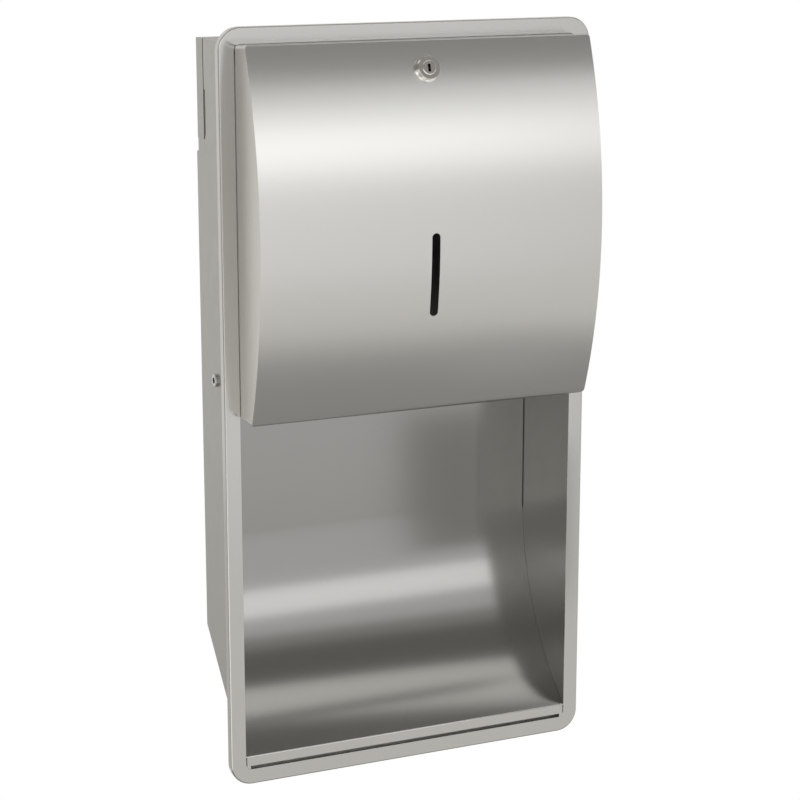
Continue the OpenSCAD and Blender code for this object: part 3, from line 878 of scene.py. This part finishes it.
    def corner_cutter(self, side: float, radius: float, seat: Matrix) -> Workpiece:
        """Makes a bar with a hollow that rounds a corner, and moves it to its place.

        Args:
            side: -1 for a corner on the left, 1 for one on the right.
            radius: the corner's radius.
            seat: moves the corner at height 0 to its place.

        Returns:
            The cutter.
        """
        place = (side * (self.half - radius), 0.0, -radius)
        hollow = Workpiece.bar(
            "corner_hollow", self.corner_sides, radius, self.corner_cut, place, FORWARD
        )
        fresh()
        bpy.ops.mesh.primitive_cube_add(size=2 * radius, location=(side * self.half, 0.0, 0.0))
        cutter = Workpiece("corner_cutter")
        cutter.edit()
        cutter.stretch((1.0, self.corner_stretch, 1.0), ORIGIN)
        cutter.close()
        cutter.take(hollow, "DIFFERENCE")
        cutter.seat(seat)
        return cutter

    def cheek(self, finishes: Finishes, side: float, name: str) -> None:
        """Cuts one flat cheek and dresses it.

        Args:
            finishes: the dispenser's finishes.
            side: -1 for the left one, 1 for the right one.
            name: the word in its node's name.
        """
        x = side * (self.half - self.sheet)
        piece = Workpiece.seed(f"cheek_{name}", x, 0.0, (self.hem_y, self.low_z + self.sheet))
        self.side_view(piece, self.sheet, self.cheek_steps)
        top = self.top_z - self.sheet
        for y, z in (
            (self.rear_y, top),
            (self.rear_y, self.tail_top_z),
            (self.tail_y, self.tail_top_z),
            (self.tail_y, self.cheek_low_z),
            (self.hem_y, self.cheek_low_z),
        ):
            piece.draw(y, z)
        bpy.ops.mesh.select_all(action="SELECT")
        bpy.ops.mesh.edge_face_add()
        piece.pull((side * self.sheet, 0.0, 0.0))
        piece.outward()
        piece.close()
        piece.take(self.top_cutter(side), "DIFFERENCE")
        piece.take(self.hem_cutter(side), "DIFFERENCE")
        piece.soften(self.cheek_edge, segments=1, angle=60.0)
        piece.smooth()
        piece.dress(finishes.cheek, "hood", "satin_steel", f"hood_cheek_{name}")


@dataclass
class Lock:
    """The lock in the hood: its collar and face, and the plug with the keyway."""

    place: Vector
    tilt: float
    barrel_r: float = 9 * MM
    barrel_len: float = 20 * MM
    collar_r: float = 12 * MM
    collar_h: float = 1.4 * MM
    face_r: float = 10 * MM
    proud: float = 5.8 * MM
    plug_r: float = 6.25 * MM
    gap: float = 0.05 * MM
    recess: float = 0.1 * MM
    edge: float = 0.25 * MM
    shoulder: float = 21.7 * MM
    tail_w: float = 7.5 * MM
    tail_len: float = 2.3 * MM
    keyway_w: float = 2.6 * MM
    keyway_h: float = 7 * MM
    key_deep: float = 16 * MM
    crown_r: float = 5.5 * MM
    crown_h: float = 0.12 * MM
    barrel_edge: float = 0.1 * MM
    core_edge: float = 0.15 * MM
    sides: int = 72

    def turned(self, name: str, points: list[Pair]) -> Workpiece:
        """Turns a closed half section round the lock's axis.

        Args:
            name: the piece's name.
            points: radius and height of the section's corners, in order.

        Returns:
            The turned piece, still upright at the origin.
        """
        piece = Workpiece.seed(name, 0.0, 0.0, points[0])
        for radius, height in points[1:]:
            piece.draw(radius, height)
        bpy.ops.mesh.select_all(action="SELECT")
        bpy.ops.mesh.edge_face_add()
        bpy.ops.mesh.delete(type="ONLY_FACE")
        bpy.ops.mesh.select_all(action="SELECT")
        bpy.ops.mesh.spin(steps=self.sides, angle=math.radians(360), center=ORIGIN, axis=Z_AXIS)
        piece.outward()
        piece.close()
        return piece

    def set_in(self, piece: Workpiece) -> None:
        """Moves an upright piece into its tilted place in the hood.

        Args:
            piece: the piece.
        """
        piece.seat(
            Matrix.Translation(self.place)
            @ Matrix.Rotation(math.radians(90) - self.tilt, 4, "X")
        )

    def build(self, finishes: Finishes) -> None:
        """Builds the body and the plug.

        Args:
            finishes: the dispenser's finishes.
        """
        bore = self.plug_r + self.gap
        body = self.turned(
            "lock_barrel",
            [
                (bore, -self.barrel_len),
                (self.barrel_r, -self.barrel_len),
                (self.barrel_r, 0.0),
                (self.collar_r, 0.0),
                (self.collar_r, self.collar_h),
                (self.face_r, self.collar_h),
                (self.face_r, self.proud),
                (bore, self.proud),
            ],
        )
        body.edit()
        for radius, height in ((self.collar_r, self.collar_h), (self.face_r, self.proud)):
            body.pick(
                Pick.EDGE,
                lambda p: abs(p.z - height) < NEAR
                and abs(math.hypot(p.x, p.y) - radius) < 2 * NEAR,
            )
            bpy.ops.mesh.bevel(offset=self.edge, segments=4, affect="EDGES")
        body.close()
        body.soften(self.barrel_edge, segments=1, angle=60.0)
        body.smooth(angle=50.0)
        self.set_in(body)
        body.dress(finishes.chrome, "hood", "lock_chrome", "lock_body")
        self.plug(finishes)

    def plug(self, finishes: Finishes) -> None:
        """Builds the plug with its low crown, its keyway and its square tail.

        Args:
            finishes: the dispenser's finishes.
        """
        front = self.proud - self.recess
        middle = (0.0, 0.0, (front - self.shoulder) / 2)
        piece = Workpiece.bar(
            "lock_core", self.sides, self.plug_r, front + self.shoulder, middle, ORIGIN
        )
        piece.edit()
        piece.pick(Pick.FACE, lambda p: p.z > front - NEAR)
        bpy.ops.mesh.inset(thickness=self.plug_r - self.crown_r)
        bpy.ops.transform.translate(value=(0.0, 0.0, self.crown_h))
        piece.close()
        fresh()
        bpy.ops.mesh.primitive_cube_add(size=1.0, location=(0.0, 0.0, front))
        cutter = Workpiece("keyway_cutter")
        cutter.edit()
        cutter.stretch((self.keyway_w, self.keyway_h, 2 * self.key_deep), (0.0, 0.0, front))
        cutter.close()
        piece.take(cutter, "DIFFERENCE")
        fresh()
        bpy.ops.mesh.primitive_cube_add(
            size=self.tail_w, location=(0.0, 0.0, -self.shoulder + self.tail_w / 2 - self.tail_len)
        )
        piece.take(Workpiece("tail_block"), "UNION")
        piece.soften(self.core_edge, angle=50.0)
        piece.smooth()
        self.set_in(piece)
        piece.dress(finishes.chrome, "lock", "lock_chrome", "lock_plug")


@dataclass
class SeamLining:
    """The thin strip inside the seam between the casing and the hanger channel; its darker steel
    partly paints the seam's shade.
    """

    wall_in: float = 161 * MM
    sheet: float = 1.2 * MM
    front: float = 62 * MM
    rear: float = 73 * MM
    low_z: float = 238 * MM
    top_z: float = 321.8 * MM
    edge: float = 0.1 * MM

    def build(self, finishes: Finishes) -> None:
        """Shapes the strip round both sides and the top, and dresses it.

        Args:
            finishes: the dispenser's finishes.
        """
        strip = self.block("seam_lining", self.wall_in, self.low_z, self.top_z)
        inside = self.block(
            "lining_hollow", self.wall_in - self.sheet, -self.top_z, self.top_z - self.sheet
        )
        strip.take(inside, "DIFFERENCE")
        strip.soften(self.edge, segments=1)
        strip.smooth()
        # The channel's darker steel on this strip partly paints the shade inside the seam.
        strip.dress(finishes.channel, "housing", "casing_steel")

    def block(self, name: str, half: float, low: float, high: float) -> Workpiece:
        """Makes a block of the strip's depth.

        Args:
            name: its name.
            half: half its width.
            low: its lower end.
            high: its upper end.

        Returns:
            The block.
        """
        fresh()
        place = (0.0, (self.front + self.rear) / 2, (low + high) / 2)
        bpy.ops.mesh.primitive_cube_add(size=1.0, location=place)
        piece = Workpiece(name)
        piece.edit()
        piece.stretch((2 * half, self.rear - self.front, high - low), place)
        piece.close()
        return piece


@dataclass
class HingeScrews:
    """The two hinge screws: round heads with a hexagon hole, and shanks."""

    y: float = 48 * MM
    z: float = 25 * MM
    wall_x: float = 162.2 * MM
    inner_x: float = 151.4 * MM
    shank_r: float = 3 * MM
    head_r: float = 5.75 * MM
    head_h: float = 3 * MM
    key_r: float = 3 * MM
    key_deep: float = 3.2 * MM
    dome: float = 0.9 * MM
    head_sides: int = 48
    key_sides: int = 6
    edge: float = 0.12 * MM

    def build(self, finishes: Finishes) -> None:
        """Shapes one screw, copies it to the other side and dresses both as one.

        Args:
            finishes: the dispenser's finishes.
        """
        outer = self.wall_x + self.head_h
        middle = (self.wall_x + self.head_h / 2, self.y, self.z)
        piece = Workpiece.bar(
            "hinge_screws", self.head_sides, self.head_r, self.head_h, middle, SIDEWAYS
        )
        piece.edit()
        piece.pick(Pick.FACE, lambda p: p.x < self.wall_x + NEAR)
        bpy.ops.mesh.inset(thickness=self.head_r - self.shank_r)
        piece.pull((self.inner_x - self.wall_x, 0.0, 0.0))
        piece.pick(Pick.EDGE, lambda p: p.x > outer - NEAR)
        bpy.ops.mesh.bevel(offset=self.dome, segments=4, affect="EDGES")
        piece.close()
        place = (outer, self.y, self.z)
        cutter = Workpiece.bar(
            "key_cutter", self.key_sides, self.key_r, 2 * self.key_deep, place, SIDEWAYS
        )
        piece.take(cutter, "DIFFERENCE")
        piece.soften(self.edge, segments=1, angle=50.0)
        piece.apply("MIRROR", use_axis=(True, False, False))
        piece.edit()
        piece.outward()
        piece.close()
        piece.smooth()
        piece.dress(finishes.fastener, "housing", "fastener_steel", "pivot_bolts")


@dataclass(frozen=True)
class Card:
    """A lit card of the studio, a patch of a sphere that only the object's surfaces mirror."""

    name: str
    azimuths: Pair
    elevations: Pair
    level: float

    def build(self, reach: float) -> None:
        """Bends the card round the object.

        Args:
            reach: its distance from the object.
        """
        low = math.radians(self.elevations[0])
        piece = Workpiece.seed(
            self.name, 0.0, 0.0, (-reach * math.cos(low), reach * math.sin(low))
        )
        piece.bend((0.0, 0.0), self.elevations[0] - self.elevations[1], 12)
        bpy.ops.mesh.select_all(action="SELECT")
        piece.swing(self.azimuths[0])
        bpy.ops.mesh.spin(
            steps=36,
            angle=-math.radians(self.azimuths[1] - self.azimuths[0]),
            center=ORIGIN,
            axis=Z_AXIS,
        )
        piece.close()
        glowing(piece, self.level)


@dataclass(frozen=True)
class Flag:
    """A small upright grey flag that hangs near the front."""

    name: str
    place: Triple
    size: Triple
    level: float

    def build(self) -> None:
        """Hangs the flag."""
        fresh()
        bpy.ops.mesh.primitive_plane_add(size=1.0, location=self.place, rotation=FORWARD)
        piece = Workpiece(self.name)
        piece.edit()
        piece.stretch(self.size, self.place)
        piece.close()
        glowing(piece, self.level)


@dataclass
class Studio:
    """Camera, floor, soft light, and the grey cards and flags that the metal mirrors.

    Angles are in degrees. A level is a brightness, where a white surface is 1.
    """

    camera_place: Triple = (-0.7887, -1.7677, 0.4691)
    camera_yaw: float = 23.876
    camera_pitch: float = 13.573
    lens: float = 99.9
    floor_z: float = -9.5
    floor_size: float = 300.0
    floor_colour: Colour = (0.85, 0.85, 0.85, 1.0)
    floor_glow: float = 1.01
    floor_glow_share: float = 0.97
    reach: float = 12.0
    strip_share: float = 1.15
    strip_elevation: float = 13.8
    strip_height: float = 12.0
    strip_level: float = 0.95
    card_reach: float = 9.0
    daylight: float = 0.8
    daylight_colour: Colour = (1.0, 0.995, 0.985, 1.0)

    def build(self) -> None:
        """Sets up the whole studio."""
        self.camera()
        self.world()
        self.floor()
        self.front_strip()
        for flag in (
            Flag("top_flag", (0.125, -0.33, 0.508), (0.75, 1.0, 0.14), 0.3),
            Flag("corner_flag", (0.3, -0.38, -0.25), (0.12, 1.0, 0.18), 0.45),
        ):
            flag.build()
        for card in (
            Card("low_card", (-180, 180), (-88, -32), 0.34),
            Card("floor_card", (-6, 105), (-32, -17), 0.82),
            Card("shoulder_card", (-75, 105), (26.5, 32), 0.48),
            Card("upper_card", (-75, 105), (32, 47), 0.25),
            Card("high_card", (-75, 105), (47, 61), 1.25),
            Card("ceiling_card", (-180, 180), (61, 89), 0.25),
            Card("right_card", (75, 130), (-31, 61), 0.5),
            Card("rear_card", (130, 180), (0, 61), 0.8),
            Card("left_card", (-125, -60), (-31, 61), 0.45),
            Card("rear_left_card", (-172, -125), (-16, 61), 0.88),
            Card("foot_left_card", (-172, -125), (-31, -16), 0.62),
            Card("near_left_card", (-60, -12), (-15, 4), 0.64),
            Card("near_foot_card", (-60, -12), (-32, -15), 1.7),
            Card("edge_card", (-12, 6), (-22, 4), 1.5),
            Card("side_card", (31, 105), (-17, 8), 0.72),
        ):
            card.build(self.card_reach)

    def camera(self) -> None:
        """Makes the camera at the photograph's place and angle."""
        data = bpy.data.cameras.new("camera")
        data.lens = self.lens
        data.sensor_width = 36.0
        camera = bpy.data.objects.new("camera", data)
        camera.location = self.camera_place
        camera.rotation_euler = (
            math.radians(90 - self.camera_pitch),
            0.0,
            math.radians(-self.camera_yaw),
        )
        bpy.context.scene.collection.objects.link(camera)
        bpy.context.scene.camera = camera

    def world(self) -> None:
        """Gives a white surround to the camera and the metal, and plain daylight to the rest."""
        world = bpy.data.worlds.new("studio")
        bpy.context.scene.world = world
        world.use_nodes = True
        nodes = world.node_tree.nodes
        link = world.node_tree.links.new
        nodes.clear()
        plain = nodes.new("ShaderNodeBackground")
        plain.inputs["Strength"].default_value = self.daylight
        plain.inputs["Color"].default_value = self.daylight_colour
        white = nodes.new("ShaderNodeBackground")
        white.inputs["Color"].default_value = (1.0, 1.0, 1.0, 1.0)
        mix = nodes.new("ShaderNodeMixShader")
        link(seen_as_background(world.node_tree), mix.inputs["Fac"])
        link(plain.outputs["Background"], mix.inputs[1])
        link(white.outputs["Background"], mix.inputs[2])
        output = nodes.new("ShaderNodeOutputWorld")
        link(mix.outputs["Shader"], output.inputs["Surface"])

    def floor(self) -> None:
        """Lays the pale floor."""
        fresh()
        bpy.ops.mesh.primitive_plane_add(size=self.floor_size, location=(0.0, 0.0, self.floor_z))
        floor = bpy.context.object
        floor.name = "floor"
        material = bpy.data.materials.new("floor_white")
        material.use_nodes = True
        nodes = material.node_tree.nodes
        link = material.node_tree.links.new
        nodes.clear()
        paint = nodes.new("ShaderNodeBsdfDiffuse")
        paint.inputs["Color"].default_value = self.floor_colour
        glow = nodes.new("ShaderNodeEmission")
        share = nodes.new("ShaderNodeMath")
        share.operation = "MULTIPLY"
        share.inputs[1].default_value = self.floor_glow_share
        glow.inputs["Strength"].default_value = self.floor_glow
        mix = nodes.new("ShaderNodeMixShader")
        output = nodes.new("ShaderNodeOutputMaterial")
        link(seen_as_background(material.node_tree), share.inputs[0])
        link(share.outputs["Value"], mix.inputs["Fac"])
        link(paint.outputs["BSDF"], mix.inputs[1])
        link(glow.outputs["Emission"], mix.inputs[2])
        link(mix.outputs["Shader"], output.inputs["Surface"])
        floor.data.materials.append(material)

    def front_strip(self) -> None:
        """Hangs the wide soft light in front."""
        data = bpy.data.lights.new("front_strip", "AREA")
        data.shape = "RECTANGLE"
        data.size = self.strip_share * self.reach
        data.size_y = self.reach * math.radians(self.strip_height)
        data.energy = self.strip_level * math.pi * data.size * data.size_y
        lamp = bpy.data.objects.new("front_strip", data)
        angle = math.radians(self.strip_elevation)
        lamp.location = (0.0, -self.reach * math.cos(angle), self.reach * math.sin(angle))
        lamp.rotation_euler = (math.radians(90) - angle, 0.0, 0.0)
        lamp.visible_camera = False
        bpy.context.scene.collection.objects.link(lamp)


def glowing(piece: Workpiece, level: float) -> None:
    """Makes a stage card glow evenly, unseen by the camera.

    Args:
        piece: the card.
        level: its brightness, where a white surface is 1.
    """
    material = bpy.data.materials.new(piece.obj.name)
    material.use_nodes = True
    nodes = material.node_tree.nodes
    nodes.clear()
    glow = nodes.new("ShaderNodeEmission")
    glow.inputs["Color"].default_value = CARD_COLOUR
    glow.inputs["Strength"].default_value = level
    output = nodes.new("ShaderNodeOutputMaterial")
    material.node_tree.links.new(glow.outputs["Emission"], output.inputs["Surface"])
    piece.obj.data.materials.append(material)
    piece.obj.visible_camera = False


def seen_as_background(tree: bpy.types.NodeTree) -> Socket:
    """Tells the rays that should see a white background.

    Args:
        tree: the node tree to add the nodes to.

    Returns:
        1 for camera, glossy and transmission rays, 0 for the rest.
    """
    path = tree.nodes.new("ShaderNodeLightPath")
    both = tree.nodes.new("ShaderNodeMath")
    both.operation = "MAXIMUM"
    every = tree.nodes.new("ShaderNodeMath")
    every.operation = "MAXIMUM"
    tree.links.new(path.outputs["Is Camera Ray"], both.inputs[0])
    tree.links.new(path.outputs["Is Glossy Ray"], both.inputs[1])
    tree.links.new(both.outputs["Value"], every.inputs[0])
    tree.links.new(path.outputs["Is Transmission Ray"], every.inputs[1])
    return every.outputs["Value"]


def main() -> None:
    """Builds every sub-assembly in order, then the studio."""
    logging.basicConfig(level=logging.INFO, format="%(name)s: %(message)s")
    bpy.context.scene.view_settings.view_transform = "Standard"
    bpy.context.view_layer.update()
    finishes = Finishes()
    finishes.dress_nodes()
    FrontFrame().build(finishes)
    Niche().build(finishes)
    hood = Hood()
    hood.build(finishes)
    tilt = math.asin((hood.lock_z - hood.bulge_z) / hood.bulge_r)
    Lock(Vector((0.0, hood.lock_y, hood.lock_z)), tilt).build(finishes)
    SeamLining().build(finishes)
    HingeScrews().build(finishes)
    Studio().build()
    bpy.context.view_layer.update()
    fresh()


if __name__ == "__main__":
    main()
